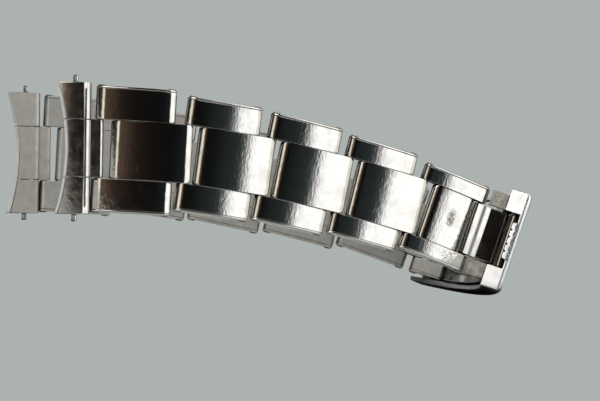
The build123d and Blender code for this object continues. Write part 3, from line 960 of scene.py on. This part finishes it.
def with_normals(points):
    # Adds the outward normal to each point of a closed outline that runs anticlockwise
    count, result = len(points), []
    for i, point in enumerate(points):
        before, after = points[i - 1], points[(i + 1) % count]
        a = (Vector(point) - Vector(before)).normalized()
        b = (Vector(after) - Vector(point)).normalized()
        normal = Vector((a.y + b.y, -a.x - b.x))
        normal = normal.normalized() if normal.length > nearly_nothing else Vector((a.y, -a.x))
        result.append((point[0], point[1], normal.x, normal.y))
    return result


def strip(radius, thick, low, high):
    # Side view of a blade from angle low to angle high
    half, turns = thick / 2, [(high - low) * i / strip_steps for i in range(strip_steps + 1)]
    outer = [clasp_point(radius + half, low + turn) for turn in turns]
    inner = [clasp_point(radius - half, high - turn) for turn in turns]
    return with_normals([tuple(p) for p in outer + inner])


def disc(centre, radius):
    sweep = [2 * pi * i / disc_steps for i in range(disc_steps)]
    return [(centre[0] + radius * cos(a), centre[1] + radius * sin(a), cos(a), sin(a)) for a in sweep]


def bar_outline(start, end, thick):
    # A straight plate with round ends, seen from the side
    along = Vector(end) - Vector(start)
    lean = atan2(along.y, along.x)
    points = []
    for centre, begin in ((end, lean - pi / 2), (start, lean + pi / 2)):
        for i in range(bar_steps + 1):
            a = begin + pi * i / bar_steps
            points.append((centre[0] + thick / 2 * cos(a), centre[1] + thick / 2 * sin(a), cos(a), sin(a)))
    return points


print("a strip has", len(strip(1.0, 0.1, 0.0, 1.0)), "points round its side view")

# %% [markdown]
# The long blade runs under the cover from its hinge to the fold. There it narrows to a tongue
# whose knuckle stands between the two knuckles of the other blade.

# %% Long blade
long_radius, short_radius, blade_sheet = 44.4, 42.7, 0.8
long_half, short_half, catch_half, tongue_half = 4.3, 7.1, 4.2, 2.3
fold_knuckle, cover_knuckle, tongue_length, tongue_overlap = 0.95, 0.85, 1.2, 2
fold_at = clasp_point(fold_hinge_radius, fold_hinge_angle)
cover_at = clasp_point(cover_hinge_radius, cover_hinge_angle)
root = fold_hinge_angle - arc_angle(tongue_length)
blade_strip = strip(long_radius, blade_sheet, cover_hinge_angle, root)
tongue_strip = strip(long_radius, blade_sheet, root - tongue_overlap, fold_hinge_angle)
long_parts = [prism(side_view, across(-half_width, half_width)) for side_view, half_width in (
    (blade_strip, long_half), (disc(cover_at, cover_knuckle), long_half),
    (tongue_strip, tongue_half), (disc(fold_at, fold_knuckle), tongue_half))]
blade = make_piece("long_blade_strip", long_parts, clasp_frame, "long_blade", "long_blade", "blade_steel",
                   blade_steel)
print("long blade has", len(blade.data.polygons), "faces")

# %% [markdown]
# The catch blade is a frame with a window, and a plate runs down from it to the last row. The
# plate ends in a folded lip over the hinge, drawn as a wedge whose face leans back.

# %% Plate and lip of the catch blade
catch_at = (clasp_frame.inverted() @ hinge_at("near_row_5_hinge")) / MM
catch_at = Vector((catch_at.x, catch_at.y))
corner = clasp_point(short_radius, cover_hinge_angle)
plate_dir = (corner - catch_at).normalized()
lip_low, lip_high, lip_top, lip_steps, lip_break = -0.35, 1.95, 1.15, 24, 0.06
lip_lean, lip_hollow = 17.5, 5


def lip_outline():
    # The folded lip over the hinge, seen from the side; its face leans back and is a little hollow
    out = Vector((plate_dir.y, -plate_dir.x))
    out = out if out.y < 0 else -out
    points, rise, step = [], lip_top, (lip_high - lip_low) / lip_steps
    for i in range(lip_steps + 1):
        points.append(tuple(catch_at + plate_dir * (lip_low + step * i) + out * rise))
        rise -= step * tan(radians(lip_lean + lip_hollow * cos(2 * pi * i / lip_steps)))
    points += [tuple(catch_at + plate_dir * reach) for reach in (lip_high, lip_low)]
    if sum(a[0] * b[1] - b[0] * a[1] for a, b in zip(points, points[1:] + points[:1])) < 0:
        points.reverse()
    return with_normals(points)


print(len(lip_outline()), "points round the lip")

# %% [markdown]
# Its other parts are strips, discs and the plate. Each is a side view that is given the two
# places along the pin between which it stands, so one list holds them all.

# %% Catch blade
cross_strip, cross_overlap, fold_gap = 3.2, 0.3, 1.6
window_half, knuckle_gap, catch_knuckle = 2.2, 2.5, 0.9
wide_angle, fold_end = cover_hinge_angle + arc_angle(cross_strip), fold_hinge_angle - fold_gap
window_end = fold_hinge_angle - arc_angle(cross_strip)
near_strip = strip(short_radius, blade_sheet, cover_hinge_angle, wide_angle + cross_overlap)
arm_strip = strip(short_radius, blade_sheet, wide_angle, fold_end)
far_strip = strip(short_radius, blade_sheet, window_end, fold_end)
catch_parts = [prism(side_view, across(low, high)) for side_view, low, high in (
    (near_strip, -catch_half, catch_half), (arm_strip, window_half, short_half),
    (arm_strip, -short_half, -window_half), (far_strip, -knuckle_gap, knuckle_gap),
    (disc(fold_at, fold_knuckle), knuckle_gap, long_half),
    (disc(fold_at, fold_knuckle), -long_half, -knuckle_gap),
    (disc(catch_at, catch_knuckle), -catch_half, catch_half),
    (bar_outline(catch_at, corner, blade_sheet), -catch_half, catch_half))]
catch_parts.append(prism(lip_outline(), across(-catch_half, catch_half, lip_break)))
catch = make_piece("catch_blade_strip", catch_parts, clasp_frame, "catch_blade", "catch_blade", "blade_steel",
                   blade_steel)
print("catch blade has", len(catch.data.polygons), "faces")

# %% [markdown]
# Two small ears stand inward from the notched wall and guide the last row as the clasp shuts.
# Sleeves never reach them, so they stay unpolished and are only rubbed.

# %% Ears of the cover
ear_radius, ear_depth, ear_sheet, ear_sunk = 41.55, 3.7, 0.7, 0.1
ear_inner, ear_outer = 4.6, 7.1
ear_start = arc_angle(cover_end_wall - ear_sunk) - cover_half_angle
ear_side = strip(ear_radius, ear_depth, ear_start, ear_start + arc_angle(ear_sheet))
ear_parts = [prism(ear_side, across(low, high))
             for low, high in ((ear_inner, ear_outer), (-ear_outer, -ear_inner))]
ears = make_piece("clasp_ears", ear_parts, *on_cover, ear_steel)
print("ears have", len(ears.data.polygons), "faces")

# %% [markdown]
# ## Small turned parts
#
# The spring bars and clasp pins are round in CAD and mostly out of sight, so their meshes stay
# and only their finish changes.

# %% Finish of the CAD parts that stay
for name, node in frame["nodes"].items():
    if node.hide_render:
        continue
    node.data.materials.clear()
    node.data.materials.append(wire_steel if name.endswith("spring") else bar_steel)
    print("kept from CAD:", name)
